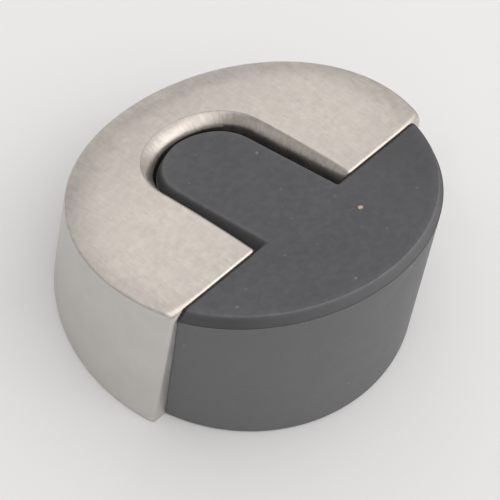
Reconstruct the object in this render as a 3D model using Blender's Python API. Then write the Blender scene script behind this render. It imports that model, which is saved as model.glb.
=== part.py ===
"""Round floor door stop: a cast steel horseshoe round a rubber buffer, on a hidden floor plate.

Metres, +Z up. The origin is the middle of the base, on the floor. The rubber faces -Y, the low
end of the steel is at +Y and the two arms of the horseshoe lie along X.
"""

import math

import bmesh
import bpy

# Steel body
BASE_RADIUS = 0.0250  # outside of the wall at the floor
WALL_DRAFT = 0.058  # loss of radius per unit of height
CROWN_HEIGHT = 0.0226  # height of the top over the middle of the base
CROWN_SLOPE = 0.28  # fall of the top towards the back, over the middle of the base
CROWN_RADIUS = 0.147  # the top is bent to this radius about an axis along X
RIM_WIDTH = 0.0040  # band along the outer edge, where the top rolls off
RIM_DROP = 0.0003  # by this much at the edge itself
ARM_FACE_Y = -0.0074  # flat front faces of the two arms
ARM_EDGE_ROUND = 0.0008  # rounding of the top edge of those faces
SHOULDER_Y = 0.0105  # where the wall is level with the start of the slot's round end

# Slot between the arms
SLOT_HALF_WIDTH = 0.0076
SLOT_END_Y = 0.0071  # centre of its round end
LIP_HALF_WIDTH = 0.0087  # where the top starts to roll down into the slot
LIP_END_Y = 0.0083  # centre of that outline's round end, so the lip is widest at the back
LIP_DROP = 0.0020  # how far the sloping lip falls before the slot's upright wall

# Rubber buffer
BUFFER_RADIUS = 0.0230
BUFFER_DRAFT = 0.010
BUFFER_HEIGHT = 0.0215  # height of its flat top over the middle of the base
BUFFER_SLOPE = 0.350  # fall of that top towards the back
BUFFER_RIM_INSET = 0.0009  # rounded band round the front, inwards
BUFFER_RIM_DROP = 0.0019  # and downwards
TONGUE_INSET = 0.00115  # the same band round the tongue
TONGUE_DROP = 0.0016
BACK_EDGE_ROUND = 0.0003

# Floor of the slot, part of the casting, which carries the buffer
WEB_UNDERSIDE = 0.0028
WEB_TOP = 0.0090
WEB_RADIUS = 0.0195
WEB_OVERLAP = 0.0010  # how far it runs into the steel round it

# Floor plate
PLATE_RADIUS = 0.0165
PLATE_THICKNESS = 0.0025
TAB_HALF_WIDTH = 0.0050
TAB_FRONT_Y = 0.0183
TAB_BACK_Y = 0.0203
TAB_HEIGHT = 0.0085
TAB_BEND = 0.0008  # chamfer that stands for the bend's outside
FLOOR_SCREW_X = 0.0105  # countersunk holes for two wood screws
FLOOR_SCREW_Y = 0.0030
FLOOR_SCREW_RADIUS = 0.0023
FLOOR_SCREW_HEAD_RADIUS = 0.0042

# Screws that hold the buffer, with their inserts and washers
SCREW_X = 0.0075
SCREW_Y = -0.0115
THREAD_RADIUS = 0.0020
SCREW_HOLE_RADIUS = 0.0023
HEAD_RADIUS = 0.0035
HEAD_BOTTOM = 0.0029
HEAD_TOP = 0.0053
SCREW_TIP = 0.0173
HEAD_SLOT_WIDTH = 0.0012
HEAD_SLOT_DEPTH = 0.0011
WASHER_RADIUS = 0.0038
WASHER_BOTTOM = 0.0055
WASHER_TOP = 0.0064
WASHER_SPLIT = math.radians(14)
COUNTERBORE_RADIUS = 0.0041
COUNTERBORE_TOP = 0.0066
INSERT_RADIUS = 0.0035
INSERT_BORE_RADIUS = 0.0022
INSERT_BOTTOM = 0.0096
INSERT_TOP = 0.0186
INSERT_GROOVE_DEPTH = 0.0004
INSERT_GROOVE_WIDTH = 0.0012

# Set screw in the low rear wall
SET_SCREW_Z = 0.0052
SET_SCREW_TIP_Y = 0.0206
SET_SCREW_END_Y = 0.0242
SET_SCREW_HOLE_RADIUS = 0.0022
SOCKET_ACROSS_FLATS = 0.0020
SOCKET_DEPTH = 0.0015

GAP = 0.0003  # between pieces that touch on the real thing
BEYOND = 0.0010  # how far a cutter runs past the face that it cuts

ARC_STEPS = 20  # steps in a quarter of the horseshoe's round end
ARM_STEPS = 7  # steps along an arm
ROUND_STEPS = 4  # steps across a rounded edge
TOP_STEPS = 4  # steps across the top between its edges
BUFFER_STEPS = 48  # steps round the buffer's front
ROUND_SEGMENTS = 32
SMALL_SEGMENTS = 24
PLATE_SEGMENTS = 64
WASHER_SECTIONS = 25


def clear_scene():
    for old in list(bpy.data.objects):
        bpy.data.objects.remove(old, do_unlink=True)


def make_material(name, colour, roughness, metallic):
    material = bpy.data.materials.new(name)
    material.use_nodes = True
    shader = material.node_tree.nodes["Principled BSDF"]
    shader.inputs["Base Color"].default_value = (*colour, 1.0)
    shader.inputs["Roughness"].default_value = roughness
    shader.inputs["Metallic"].default_value = metallic
    return material


def add_object(name, mesh, material=None, parent=None):
    """Put a mesh in the scene; without a material it is a cutter, which the object leaves out."""
    made = bpy.data.objects.new(name, mesh)
    bpy.context.scene.collection.objects.link(made)
    if material is None:
        made.hide_render = True
        made.display_type = "WIRE"
    else:
        mesh.materials.append(material)
        mesh.shade_smooth()
        mesh.set_sharp_from_angle(angle=math.radians(35))
    made.parent = parent
    return made


def add_joint_empty(name, location, parent=None):
    empty = bpy.data.objects.new(name, None)
    bpy.context.scene.collection.objects.link(empty)
    empty.location = location
    empty.empty_display_size = 0.004
    empty.parent = parent
    return empty


def loops_to_mesh(name, loops, ring=False):
    """Skin a row of point loops, each with the same number of points, into one closed mesh.

    A ring's last loop joins back to its first; otherwise both ends are filled.
    """
    shape = bmesh.new()
    rows = [[shape.verts.new(point) for point in loop] for loop in loops]
    count = len(rows[0])
    if ring:
        rows.append(rows[0])
    else:
        shape.faces.new(rows[0][::-1])
        shape.faces.new(rows[-1])
    for lower, upper in zip(rows, rows[1:]):
        for i in range(count):
            j = (i + 1) % count
            shape.faces.new((lower[i], lower[j], upper[j], upper[i]))
    bmesh.ops.recalc_face_normals(shape, faces=shape.faces)
    mesh = bpy.data.meshes.new(name)
    shape.to_mesh(mesh)
    shape.free()
    return mesh


def circle(radius, z, segments=ROUND_SEGMENTS, start=0.0, sweep=2 * math.pi):
    """Points on a circle or, with a shorter sweep, on an arc that includes both of its ends."""
    whole = abs(sweep - 2 * math.pi) < 1e-9
    steps = segments if whole else segments - 1
    angles = [start + sweep * i / steps for i in range(segments)]
    return [(radius * math.cos(a), radius * math.sin(a), z) for a in angles]


def turned_mesh(name, profile, segments=ROUND_SEGMENTS):
    """A solid of revolution about Z from (radius, z) pairs, bottom to top."""
    return loops_to_mesh(name, [circle(radius, z, segments) for radius, z in profile])


def prism_mesh(name, outline, bottom, top):
    return loops_to_mesh(name, [[(x, y, z) for x, y in outline] for z in (bottom, top)])


def box_mesh(name, low, high):
    outline = [(low[0], low[1]), (high[0], low[1]), (high[0], high[1]), (low[0], high[1])]
    return prism_mesh(name, outline, low[2], high[2])


def combine(target, tool, operation="DIFFERENCE"):
    modifier = target.modifiers.new(tool.name, "BOOLEAN")
    modifier.operation = operation
    modifier.solver = "EXACT"
    modifier.object = tool


def quarter_round(steps):
    """Fractions (inwards, down) along a quarter circle, from its foot to its crest."""
    angles = [math.pi / 2 * i / steps for i in range(steps + 1)]
    return [(1 - math.cos(a), 1 - math.sin(a)) for a in angles]


def round_drop(distance, radius):
    """How far an edge rounded to a radius lies below the full height, at a distance from it."""
    reach = radius - min(max(distance, 0.0), radius)
    return radius - math.sqrt(radius**2 - reach**2)


def bowed_band(steps):
    """Fractions (inwards, down) up a flat, slightly bowed band, from its foot to its crest."""
    shares = [i / steps for i in range(steps + 1)]
    return [(0.55 * t + 0.45 * t**3, 1 - 1.4 * t + 0.4 * t**2) for t in shares]


# Steel body


def crown_height(y):
    """Height of the crowned top, which runs straight along X."""
    lean = math.atan(CROWN_SLOPE)
    centre_y = -CROWN_RADIUS * math.sin(lean)
    centre_z = CROWN_HEIGHT - CROWN_RADIUS * math.cos(lean)
    return centre_z + math.sqrt(CROWN_RADIUS**2 - (y - centre_y) ** 2)


def top_height(y, to_edge):
    """Height of the steel's top, at a distance from the outer edge, before it meets the slot."""
    into_rim = 1 - min(to_edge / RIM_WIDTH, 1.0)
    drop = RIM_DROP * into_rim**2 + round_drop(y - ARM_FACE_Y, ARM_EDGE_ROUND)
    return crown_height(y) - drop


def slot_point(share, half_width=SLOT_HALF_WIDTH, end_y=SLOT_END_Y):
    """A point on the slot's outline: share 0 to 1 along the arm, 1 to 2 round to the back."""
    if share <= 1:
        return half_width, ARM_FACE_Y + (end_y - ARM_FACE_Y) * share
    turn = math.pi / 2 * (share - 1)
    return half_width * math.cos(turn), end_y + half_width * math.sin(turn)


def wall_point(share, radius):
    """The matching point on the outside wall at the given radius."""
    if share <= 1:
        y = ARM_FACE_Y + (SHOULDER_Y - ARM_FACE_Y) * share
        return math.sqrt(radius**2 - y**2), y
    shoulder = math.asin(SHOULDER_Y / radius)
    angle = shoulder + (math.pi / 2 - shoulder) * (share - 1)
    return radius * math.cos(angle), radius * math.sin(angle)


def wall_top(share):
    """The outside wall's top edge at a station, found by walking up the drafted wall."""
    radius = BASE_RADIUS
    for _ in range(8):
        x, y = wall_point(share, radius)
        z = top_height(y, 0.0)
        radius = BASE_RADIUS - WALL_DRAFT * z
    return x, y, z


def body_section(share, side):
    """One closed section across the horseshoe: up the wall, over the top, down the slot."""
    slot_x, slot_y = slot_point(share)
    lip_x, lip_y = slot_point(share, LIP_HALF_WIDTH, LIP_END_Y)
    edge_x, edge_y, edge_z = wall_top(share)
    foot_x, foot_y = wall_point(share, BASE_RADIUS)
    points = [(foot_x, foot_y, 0.0), (edge_x, edge_y, edge_z)]

    across = math.hypot(edge_x - lip_x, edge_y - lip_y)
    for i in range(1, TOP_STEPS + 1):
        w = (i / TOP_STEPS) ** 1.4
        x = edge_x + (lip_x - edge_x) * w
        y = edge_y + (lip_y - edge_y) * w
        points.append((x, y, top_height(y, across * w)))

    for i in range(1, ROUND_STEPS + 1):
        w = i / ROUND_STEPS
        x = lip_x + (slot_x - lip_x) * w
        y = lip_y + (slot_y - lip_y) * w
        down = LIP_DROP * (0.62 * w + 0.38 * w**2)
        points.append((x, y, top_height(y, across) - down))
    points.append((slot_x, slot_y, 0.0))
    return [(side * x, y, z) for x, y, z in points]


def body_stations():
    """Stations from the front of an arm, close together over its rounded edge, to the back."""
    edge = ARM_EDGE_ROUND / (LIP_END_Y - ARM_FACE_Y)
    near = [edge * inwards for inwards, _ in quarter_round(ROUND_STEPS)]
    along = [edge + (1 - edge) * i / ARM_STEPS for i in range(1, ARM_STEPS + 1)]
    round_end = [1 + i / ARC_STEPS for i in range(1, ARC_STEPS + 1)]
    return near + along + round_end


def web_outline(radius, lobe_back, strip_back):
    """Outline of the slot's floor: a round lobe under the buffer and a strip along the slot."""
    corner = math.asin(-lobe_back / radius)
    lobe = circle(radius, 0, 33, start=math.pi + corner, sweep=math.pi - 2 * corner)
    strip = SLOT_HALF_WIDTH + WEB_OVERLAP
    end = circle(strip, 0, 17, start=0.0, sweep=math.pi)
    points = [(x, y) for x, y, _ in lobe]
    points.append((strip, lobe_back))
    points += [(x, y + strip_back) for x, y, _ in end]
    points.append((-strip, lobe_back))
    return points


def make_cast_body(material, parent):
    shares = body_stations()
    sections = [body_section(share, -1) for share in shares]
    sections += [body_section(share, 1) for share in shares[-2::-1]]
    body = add_object("cast_body", loops_to_mesh("cast_body", sections), material, parent)

    outline = web_outline(WEB_RADIUS, ARM_FACE_Y + WEB_OVERLAP, SLOT_END_Y)
    web = prism_mesh("web", outline, WEB_UNDERSIDE - BEYOND, WEB_TOP)
    combine(body, add_object("body_web", web), "UNION")

    recess_radius = PLATE_RADIUS + GAP
    recess_profile = [(recess_radius, -BEYOND), (recess_radius, WEB_UNDERSIDE)]
    recess = turned_mesh("recess", recess_profile, PLATE_SEGMENTS)
    combine(body, add_object("body_plate_recess", recess))

    room = 2 * GAP
    half = TAB_HALF_WIDTH + room
    back = TAB_BACK_Y + room
    channel = box_mesh("channel", (-half, PLATE_RADIUS / 2, -BEYOND), (half, back, WEB_UNDERSIDE))
    combine(body, add_object("body_strip_channel", channel))
    front = TAB_FRONT_Y - room
    pocket = box_mesh("pocket", (-half, front, -BEYOND), (half, back, TAB_HEIGHT + room))
    combine(body, add_object("body_tab_pocket", pocket))

    bore = [
        (COUNTERBORE_RADIUS, 0.0),
        (COUNTERBORE_RADIUS, COUNTERBORE_TOP),
        (SCREW_HOLE_RADIUS, COUNTERBORE_TOP),
        (SCREW_HOLE_RADIUS, WEB_TOP + BEYOND),
    ]
    for side, label in ((-1, "left"), (1, "right")):
        drill = add_object(f"body_screw_bore_{label}", turned_mesh("screw_bore", bore))
        drill.location = (side * SCREW_X, SCREW_Y, 0)
        combine(body, drill)

    drill_length = BASE_RADIUS + BEYOND - TAB_BACK_Y
    drill_mesh = turned_mesh(
        "set_screw_bore", [(SET_SCREW_HOLE_RADIUS, 0), (SET_SCREW_HOLE_RADIUS, drill_length)]
    )
    drill = add_object("body_set_screw_bore", drill_mesh)
    drill.location = (0, TAB_BACK_Y, SET_SCREW_Z)
    drill.rotation_euler = (-math.pi / 2, 0, 0)
    combine(body, drill)
    return body


# Rubber buffer


def buffer_ring(rim_inset, tongue_inset, back_inset, radius):
    """The buffer's outline, each of its three kinds of edge moved in by its own amount."""
    rim = radius - rim_inset
    back_y = ARM_FACE_Y - GAP - back_inset
    half = SLOT_HALF_WIDTH - GAP - tongue_inset
    corner = math.asin(-back_y / rim)
    front = circle(rim, 0, BUFFER_STEPS + 1, start=math.pi + corner, sweep=math.pi - 2 * corner)
    points = [(x, y, "rim") for x, y, _ in front]
    points.append((half, back_y, "back"))
    tongue = circle(half, 0, 17, start=0.0, sweep=math.pi)
    points += [(x, y + SLOT_END_Y - GAP, "tongue") for x, y, _ in tongue]
    points.append((-half, back_y, "back"))
    return points


def buffer_loop(step):
    """One loop round the top edge: step is (inwards, down) as fractions of the full rounding."""
    inwards, down = step
    drops = {"rim": BUFFER_RIM_DROP, "tongue": TONGUE_DROP, "back": BACK_EDGE_ROUND}
    ring = buffer_ring(
        BUFFER_RIM_INSET * inwards,
        TONGUE_INSET * inwards,
        BACK_EDGE_ROUND * inwards,
        BUFFER_RADIUS - BUFFER_DRAFT * BUFFER_HEIGHT,
    )
    return [(x, y, BUFFER_HEIGHT - BUFFER_SLOPE * y - drops[kind] * down) for x, y, kind in ring]


def make_rubber_buffer(material, parent):
    foot = [(x, y, 0.0) for x, y, _ in buffer_ring(0, 0, 0, BUFFER_RADIUS)]
    loops = [foot] + [buffer_loop(step) for step in bowed_band(ROUND_STEPS)]
    buffer = add_object("rubber_buffer", loops_to_mesh("rubber_buffer", loops), material, parent)

    outline = web_outline(WEB_RADIUS + GAP, ARM_FACE_Y - GAP, SLOT_END_Y + SLOT_HALF_WIDTH)
    socket = prism_mesh("socket", outline, -BEYOND, WEB_TOP + GAP)
    combine(buffer, add_object("buffer_web_socket", socket))
    for side, label in ((-1, "left"), (1, "right")):
        bore = turned_mesh(
            "insert_bore", [(INSERT_RADIUS + GAP, WEB_TOP), (INSERT_RADIUS + GAP, INSERT_TOP + GAP)]
        )
        drill = add_object(f"buffer_insert_bore_{label}", bore)
        drill.location = (side * SCREW_X, SCREW_Y, 0)
        combine(buffer, drill)
    return buffer


# Hidden fixings


def make_insert(label, side, material, parent):
    """Brass insert with two grooves that key it into the rubber."""
    third = (INSERT_TOP - INSERT_BOTTOM) / 3
    floor = INSERT_RADIUS - INSERT_GROOVE_DEPTH
    floor_half = INSERT_GROOVE_WIDTH / 2
    mouth_half = floor_half + INSERT_GROOVE_DEPTH / 2
    profile = [(INSERT_BORE_RADIUS, INSERT_BOTTOM), (INSERT_RADIUS, INSERT_BOTTOM)]
    for middle in (INSERT_BOTTOM + third, INSERT_BOTTOM + 2 * third):
        profile += [(INSERT_RADIUS, middle - mouth_half), (floor, middle - floor_half)]
        profile += [(floor, middle + floor_half), (INSERT_RADIUS, middle + mouth_half)]
    profile += [(INSERT_RADIUS, INSERT_TOP), (INSERT_BORE_RADIUS, INSERT_TOP)]
    loops = [circle(radius, z, SMALL_SEGMENTS) for radius, z in profile]
    mesh = loops_to_mesh("insert", loops, ring=True)
    insert = add_object(f"buffer_insert_{label}", mesh, material, parent)
    insert.location = (side * SCREW_X, SCREW_Y, 0)
    return insert


def make_buffer_screw(label, side, material, parent):
    chamfer = 0.0004
    profile = [
        (HEAD_RADIUS - chamfer / 2, HEAD_BOTTOM),
        (HEAD_RADIUS, HEAD_BOTTOM + chamfer),
        (HEAD_RADIUS, HEAD_TOP),
        (THREAD_RADIUS, HEAD_TOP),
        (THREAD_RADIUS, SCREW_TIP - chamfer),
        (THREAD_RADIUS - chamfer, SCREW_TIP),
    ]
    mesh = turned_mesh("buffer_screw", profile, SMALL_SEGMENTS)
    screw = add_object(f"buffer_screw_{label}", mesh, material, parent)
    screw.location = (side * SCREW_X, SCREW_Y, 0)
    half = HEAD_SLOT_WIDTH / 2
    reach = HEAD_RADIUS + BEYOND
    slot = box_mesh(
        "head_slot",
        (-half, -reach, HEAD_BOTTOM - BEYOND),
        (half, reach, HEAD_BOTTOM + HEAD_SLOT_DEPTH),
    )
    cutter = add_object(f"screw_slot_{label}", slot)
    cutter.location = screw.location
    combine(screw, cutter)
    return screw


def make_spring_washer(label, side, material, parent):
    """A split washer: a square section swept round less than a full turn."""
    inner = SCREW_HOLE_RADIUS
    sweep = 2 * math.pi - WASHER_SPLIT
    sections = []
    for i in range(WASHER_SECTIONS):
        angle = WASHER_SPLIT / 2 + sweep * i / (WASHER_SECTIONS - 1)
        corners = [
            (inner, WASHER_BOTTOM),
            (WASHER_RADIUS, WASHER_BOTTOM),
            (WASHER_RADIUS, WASHER_TOP),
            (inner, WASHER_TOP),
        ]
        sections.append([(r * math.cos(angle), r * math.sin(angle), z) for r, z in corners])
    mesh = loops_to_mesh("spring_washer", sections)
    washer = add_object(f"spring_washer_{label}", mesh, material, parent)
    washer.location = (side * SCREW_X, SCREW_Y, 0)
    return washer


def make_mounting_plate(material, parent):
    """Pressed plate with a rear tab turned up behind the slot's end."""
    disc = turned_mesh("plate", [(PLATE_RADIUS, 0), (PLATE_RADIUS, PLATE_THICKNESS)], PLATE_SEGMENTS)
    plate = add_object("mounting_plate", disc, material, parent)
    strip_front = PLATE_RADIUS / 2
    side_outline = [
        (strip_front, 0.0),
        (TAB_BACK_Y - TAB_BEND, 0.0),
        (TAB_BACK_Y, TAB_BEND),
        (TAB_BACK_Y, TAB_HEIGHT),
        (TAB_FRONT_Y, TAB_HEIGHT),
        (TAB_FRONT_Y, PLATE_THICKNESS),
        (strip_front, PLATE_THICKNESS),
    ]
    sections = [[(x, y, z) for y, z in side_outline] for x in (-TAB_HALF_WIDTH, TAB_HALF_WIDTH)]
    combine(plate, add_object("plate_tab", loops_to_mesh("tab", sections)), "UNION")
    countersink = FLOOR_SCREW_HEAD_RADIUS - FLOOR_SCREW_RADIUS
    hole = [
        (FLOOR_SCREW_RADIUS, -BEYOND),
        (FLOOR_SCREW_RADIUS, PLATE_THICKNESS - countersink),
        (FLOOR_SCREW_HEAD_RADIUS, PLATE_THICKNESS),
        (FLOOR_SCREW_HEAD_RADIUS, PLATE_THICKNESS + BEYOND),
    ]
    for side, label in ((-1, "left"), (1, "right")):
        drill = add_object(f"plate_hole_{label}", turned_mesh("plate_hole", hole, SMALL_SEGMENTS))
        drill.location = (side * FLOOR_SCREW_X, FLOOR_SCREW_Y, 0)
        combine(plate, drill)
    return plate


def make_grub_screw(material, parent):
    """Set screw on its own axis, which runs along +Y out of the rear wall."""
    length = SET_SCREW_END_Y - SET_SCREW_TIP_Y
    chamfer = 0.0005
    profile = [
        (THREAD_RADIUS - 2 * chamfer, 0.0),
        (THREAD_RADIUS, 2 * chamfer),
        (THREAD_RADIUS, length - chamfer / 2),
        (THREAD_RADIUS - chamfer / 2, length),
    ]
    mesh = turned_mesh("grub_screw", profile, SMALL_SEGMENTS)
    screw = add_object("grub_screw", mesh, material, parent)
    socket_radius = SOCKET_ACROSS_FLATS / math.sqrt(3)
    socket_profile = [(socket_radius, length - SOCKET_DEPTH), (socket_radius, length + BEYOND)]
    socket = add_object("grub_socket", turned_mesh("socket", socket_profile, 6))
    for piece in (screw, socket):
        piece.rotation_euler = (-math.pi / 2, 0, 0)
    socket.location = (0, SET_SCREW_TIP_Y, SET_SCREW_Z)
    combine(screw, socket)
    return screw


def main():
    clear_scene()
    satin_steel = make_material("satin_steel", (0.60, 0.57, 0.53), 0.38, 1.0)
    grey_rubber = make_material("grey_rubber", (0.115, 0.117, 0.125), 0.62, 0.0)
    plain_steel = make_material("plain_steel", (0.50, 0.50, 0.50), 0.45, 1.0)
    zinc_steel = make_material("zinc_plated_steel", (0.58, 0.59, 0.60), 0.40, 1.0)
    brass = make_material("brass", (0.62, 0.45, 0.20), 0.35, 1.0)
    dark_steel = make_material("black_oxide_steel", (0.05, 0.05, 0.055), 0.45, 1.0)

    lift = add_joint_empty("stop_lift", (0, 0, 0))
    set_screw_axis = add_joint_empty("set_screw_travel", (0, SET_SCREW_TIP_Y, SET_SCREW_Z), lift)

    make_mounting_plate(plain_steel, None)
    make_cast_body(satin_steel, lift)
    make_rubber_buffer(grey_rubber, lift)
    for side, label in ((-1, "left"), (1, "right")):
        make_insert(label, side, brass, lift)
        make_buffer_screw(label, side, zinc_steel, lift)
        make_spring_washer(label, side, zinc_steel, lift)
    make_grub_screw(dark_steel, set_screw_axis)


main()
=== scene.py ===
import math

import bmesh
import bpy
from mathutils import Matrix, Vector


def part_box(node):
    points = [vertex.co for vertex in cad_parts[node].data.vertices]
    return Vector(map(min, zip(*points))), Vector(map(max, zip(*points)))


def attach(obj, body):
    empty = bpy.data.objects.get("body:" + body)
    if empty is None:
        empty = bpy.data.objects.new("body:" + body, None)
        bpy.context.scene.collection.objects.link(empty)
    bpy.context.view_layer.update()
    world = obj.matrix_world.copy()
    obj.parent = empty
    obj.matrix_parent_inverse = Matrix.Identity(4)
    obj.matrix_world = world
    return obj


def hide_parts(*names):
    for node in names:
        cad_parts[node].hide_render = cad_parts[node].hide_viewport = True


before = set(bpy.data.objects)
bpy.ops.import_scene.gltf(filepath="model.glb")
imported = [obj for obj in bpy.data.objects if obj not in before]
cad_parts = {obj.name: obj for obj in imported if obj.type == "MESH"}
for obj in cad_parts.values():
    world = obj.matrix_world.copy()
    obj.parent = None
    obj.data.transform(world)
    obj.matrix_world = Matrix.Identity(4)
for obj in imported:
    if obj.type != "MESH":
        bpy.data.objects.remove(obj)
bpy.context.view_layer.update()  # every length below is in metres, in this frame
print("frame loaded:", len(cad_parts), "nodes")


# Camera, light and floor

view = {
    "azimuth": -54.2,      # degrees round the stop, 0 looks along +Y
    "elevation": 56.2,
    "roll": 9.88,
    "lens": 149.7,         # mm
    "sensor": 36,          # mm
    "clip": (0.01, 20),
    "distance": 0.2779,    # from the middle of the base
    "right": -0.00111,     # where the middle of the base lies, off the view's centre
    "up": -0.00404,
}


def makeCamera():
    a, e, r = (math.radians(view[key]) for key in ("azimuth", "elevation", "roll"))
    back = Vector((math.sin(a) * math.cos(e), -math.cos(a) * math.cos(e), math.sin(e)))
    right = Vector((math.cos(a), math.sin(a), 0))
    up = back.cross(right)
    rolledRight = right * math.cos(r) + up * math.sin(r)
    rolledUp = up * math.cos(r) - right * math.sin(r)
    data = bpy.data.cameras.new("camera")
    data.lens = view["lens"]
    data.sensor_width = view["sensor"]
    data.clip_start, data.clip_end = view["clip"]
    camera = bpy.data.objects.new("camera", data)
    spot = back * view["distance"] - rolledRight * view["right"] - rolledUp * view["up"]
    turn = Matrix((rolledRight, rolledUp, back)).transposed().to_4x4()
    camera.matrix_world = Matrix.Translation(spot) @ turn
    bpy.context.scene.collection.objects.link(camera)
    bpy.context.scene.camera = camera


makeCamera()
print("camera placed")


# Node helpers

def addNode(tree, kind, inputs=None, **settings):
    made = tree.nodes.new(kind)
    for key, value in settings.items():
        setattr(made, key, value)
    for key, value in (inputs or {}).items():
        if isinstance(value, bpy.types.NodeSocket):
            tree.links.new(value, made.inputs[key])
        else:
            made.inputs[key].default_value = value
    return made


def calc(tree, operation, *values):
    return addNode(tree, "ShaderNodeMath", dict(enumerate(values)), operation=operation).outputs[0]


def vectorCalc(tree, operation, first, second):
    return addNode(tree, "ShaderNodeVectorMath", {0: first, 1: second}, operation=operation).outputs


def remap(tree, value, fromLow, fromHigh, toLow=0.0, toHigh=1.0):
    inputs = {0: value, 1: fromLow, 2: fromHigh, 3: toLow, 4: toHigh}
    return addNode(tree, "ShaderNodeMapRange", inputs, interpolation_type="SMOOTHSTEP").outputs[0]


def mixColours(tree, share, first, second):
    return addNode(tree, "ShaderNodeMix", {0: share, 6: first, 7: second}, data_type="RGBA").outputs[2]


def addNoise(tree, vector, scale, detail, roughness=0.5, distortion=0.0):
    inputs = {"Vector": vector, "Scale": scale, "Detail": detail}
    inputs.update({"Roughness": roughness, "Distortion": distortion})
    return addNode(tree, "ShaderNodeTexNoise", inputs).outputs[0]


def newGroup(name, values, outputs):
    # an effect takes a vector and some named values, and gives named values back
    tree = bpy.data.node_groups.new(name, "ShaderNodeTree")
    tree.interface.new_socket("Vector", in_out="INPUT", socket_type="NodeSocketVector")
    for label, value in values.items():
        socket = tree.interface.new_socket(label, in_out="INPUT", socket_type="NodeSocketFloat")
        socket.default_value = value
    for label in outputs:
        tree.interface.new_socket(label, in_out="OUTPUT", socket_type="NodeSocketFloat")
    entry = tree.nodes.new("NodeGroupInput")
    leave = tree.nodes.new("NodeGroupOutput")
    return tree, entry.outputs, leave.inputs


def newMaterial(name, colour, roughness, metallic):
    material = bpy.data.materials.new(name)
    material.use_nodes = True
    tree = material.node_tree
    shader = tree.nodes["Principled BSDF"]
    shader.inputs["Base Color"].default_value = (*colour, 1)
    shader.inputs["Roughness"].default_value = roughness
    shader.inputs["Metallic"].default_value = metallic
    return material, tree, shader


lighting = {
    "base": 0.34,                     # the dim studio all round
    # soft sources, each with the cosines where it starts and is full, and what it adds
    "sources": (
        {"name": "ceiling", "towards": (0.20, -0.10, 0.97), "starts": 0.05, "full": 0.97, "adds": 0.60},
        {"name": "overhead", "towards": (-0.35, -0.45, 0.82), "starts": 0.60, "full": 0.97, "adds": 0.50},
        {"name": "window", "towards": (0.45, -0.80, 0.40), "starts": 0.80, "full": 0.98, "adds": 0.74},
        {"name": "reflector", "towards": (0.42, 0.80, 0.43), "starts": 0.95, "full": 0.995, "adds": 0.62},
    ),
    "tint": (1.0, 0.985, 0.965),
    "seen": (0.80, 0.80, 0.81),       # plain backdrop behind the stop
    "keyTowards": (0.56, -0.26, 0.78),
    "keyPower": 0.12,                 # W
    "keySize": 0.34,
    "keyDistance": 0.36,
}


def makeLight():
    world = bpy.data.worlds.new("studio")
    bpy.context.scene.world = world
    world.use_nodes = True
    tree = world.node_tree
    tree.nodes.clear()
    direction = addNode(tree, "ShaderNodeTexCoord").outputs["Generated"]
    strength = lighting["base"]
    for source in lighting["sources"]:
        towards = Vector(source["towards"]).normalized()
        facing = vectorCalc(tree, "DOT_PRODUCT", direction, towards)["Value"]
        share = remap(tree, facing, source["starts"], source["full"], 0.0, source["adds"])
        strength = calc(tree, "ADD", share, strength)
    studio = addNode(tree, "ShaderNodeBackground", {"Color": (*lighting["tint"], 1), "Strength": strength})
    backdrop = addNode(tree, "ShaderNodeBackground", {"Color": (*lighting["seen"], 1)})
    ray = addNode(tree, "ShaderNodeLightPath").outputs["Is Camera Ray"]
    both = addNode(tree, "ShaderNodeMixShader", {0: ray, 1: studio.outputs[0], 2: backdrop.outputs[0]})
    addNode(tree, "ShaderNodeOutputWorld", {"Surface": both.outputs[0]})

    data = bpy.data.lights.new("key", "AREA")
    data.shape = "DISK"
    data.size = lighting["keySize"]
    data.energy = lighting["keyPower"]
    data.color = lighting["tint"]
    key = bpy.data.objects.new("key", data)
    towards = Vector(lighting["keyTowards"]).normalized()
    key.location = towards * lighting["keyDistance"]
    key.rotation_euler = towards.to_track_quat("Z", "Y").to_euler()
    bpy.context.scene.collection.objects.link(key)


paleBoard = {
    "half": 3.0,
    "level": -0.00002,                # just under the stop's foot
    "plain": (0.79, 0.79, 0.80),
    "light": (0.80, 0.80, 0.81, 1),
    "dark": (0.76, 0.76, 0.77, 1),
    "roughness": 0.7,
    "smudgeScale": 45.0,
}


def makeFloor():
    s = paleBoard
    mesh = bpy.data.meshes.new("floor")
    corners = [(x * s["half"], y * s["half"], 0) for x, y in ((-1, -1), (1, -1), (1, 1), (-1, 1))]
    mesh.from_pydata(corners, [], [(0, 1, 2, 3)])
    floor = bpy.data.objects.new("floor", mesh)
    floor.location.z = s["level"]
    bpy.context.scene.collection.objects.link(floor)
    material, tree, shader = newMaterial("paleBoard", s["plain"], s["roughness"], 0)
    spot = addNode(tree, "ShaderNodeTexCoord").outputs["Object"]
    smudges = addNoise(tree, spot, s["smudgeScale"], 3.0)
    colour = mixColours(tree, remap(tree, smudges, 0.55, 0.8), s["light"], s["dark"])
    tree.links.new(colour, shader.inputs["Base Color"])
    mesh.materials.append(material)


makeLight()
makeFloor()
bpy.context.scene.view_settings.view_transform = "Standard"
print("light and floor ready")


# Mesh helpers

def skinRows(name, rows, ring=False):
    # each row of points is joined to the next; a ring's last row joins its first, else both ends are filled
    shape = bmesh.new()
    grid = [[shape.verts.new(point) for point in row] for row in rows]
    if ring:
        grid.append(grid[0])
    else:
        shape.faces.new(grid[0][::-1])
        shape.faces.new(grid[-1])
    for lower, upper in zip(grid, grid[1:]):
        for i in range(len(lower)):
            j = (i + 1) % len(lower)
            shape.faces.new((lower[i], lower[j], upper[j], upper[i]))
    bmesh.ops.recalc_face_normals(shape, faces=shape.faces)
    mesh = bpy.data.meshes.new(name)
    shape.to_mesh(mesh)
    shape.free()
    return mesh


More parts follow.
